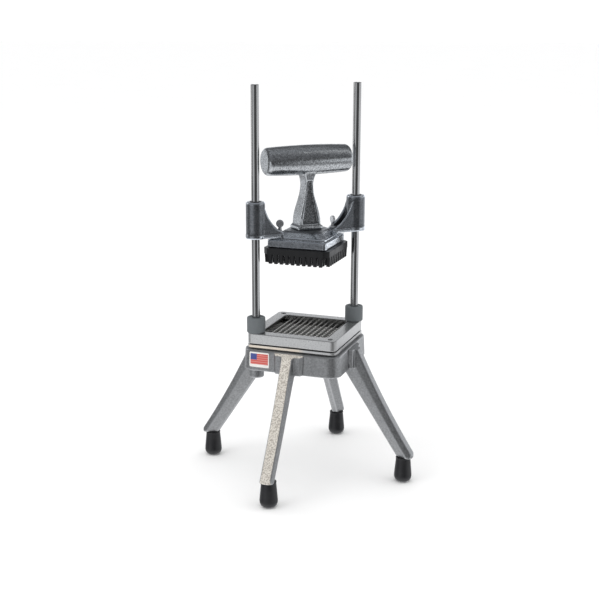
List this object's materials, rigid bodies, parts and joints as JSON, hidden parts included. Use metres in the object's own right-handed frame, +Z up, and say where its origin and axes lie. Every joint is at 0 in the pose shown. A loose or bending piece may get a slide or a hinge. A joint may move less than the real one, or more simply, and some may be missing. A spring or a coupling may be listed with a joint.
{
  "type": "hand-operated french fry cutter",
  "caption": "Upright hand press with a barrel grip and toothed pusher head sliding on two diagonal guide rods over a square blade grid on four splayed legs",
  "frame": {"origin": "on the ground, midway between the four feet", "axes": "+X to the right along the front edge of the base, +Y away from the front, +Z up along the guide rods; the rods, arms and grip lie on the diagonal from front left to back right"},
  "size_m": [0.2756, 0.2756, 0.4712],
  "materials": {
    "base_metal": "satin cast aluminium",
    "frame_metal": "satin cast aluminium, milled edges",
    "head_metal": "polished cast aluminium",
    "grip_metal": "hand-polished cast aluminium",
    "rod_steel": "ground and polished stainless steel",
    "blade_steel": "ground stainless steel strip",
    "screw_steel": "plain stainless steel",
    "paddle_metal": "bright plated",
    "insert_brass": "turned brass",
    "bearing_plastic": "plain bearing plastic",
    "pusher_plastic": "moulded black plastic",
    "bumper_rubber": "smooth matte rubber",
    "foot_rubber": "black moulded rubber",
    "label_film": "printed film"
  },
  "bodies": {
    "base": {"base_casting": "base_metal", "leg_screws": "screw_steel", "blade_frame_upper": "frame_metal", "blade_frame_lower": "frame_metal", "upper_blades": "blade_steel", "lower_blades": "blade_steel", "blade_frame_screws": "screw_steel", "guide_rod_left": "rod_steel", "guide_rod_right": "rod_steel", "rod_bolts": "screw_steel", "rod_washers": "screw_steel", "bumper_left": "bumper_rubber", "bumper_right": "bumper_rubber", "leg_front": "base_metal", "leg_right": "base_metal", "leg_back": "base_metal", "leg_left": "base_metal", "foot_front": "foot_rubber", "foot_right": "foot_rubber", "foot_back": "foot_rubber", "foot_left": "foot_rubber", "label_plate": "label_film"},
    "head": {"head_casting": "head_metal", "handle": "grip_metal", "handle_screws": "screw_steel", "bushing_left_lower": "bearing_plastic", "bushing_left_upper": "bearing_plastic", "bushing_right_lower": "bearing_plastic", "bushing_right_upper": "bearing_plastic", "pusher_block": "pusher_plastic", "pusher_inserts": "insert_brass"},
    "thumb_screw_left": {"thumb_screw_left": "paddle_metal"},
    "thumb_screw_right": {"thumb_screw_right": "paddle_metal"}
  },
  "joints": [
    {"name": "head_slide", "type": "slide", "parent": "base", "child": "head", "axis": [0, 0, 1], "range_m": [-0.0939, 0.128]},
    {"name": "thumb_screw_left_turn", "type": "hinge", "parent": "head", "child": "thumb_screw_left", "pos_m": [-0.0244, -0.0244, 0.3104], "axis": [0, 0, 1], "continuous": true},
    {"name": "thumb_screw_right_turn", "type": "hinge", "parent": "head", "child": "thumb_screw_right", "pos_m": [0.0244, 0.0244, 0.3104], "axis": [0, 0, 1], "continuous": true}
  ]
}
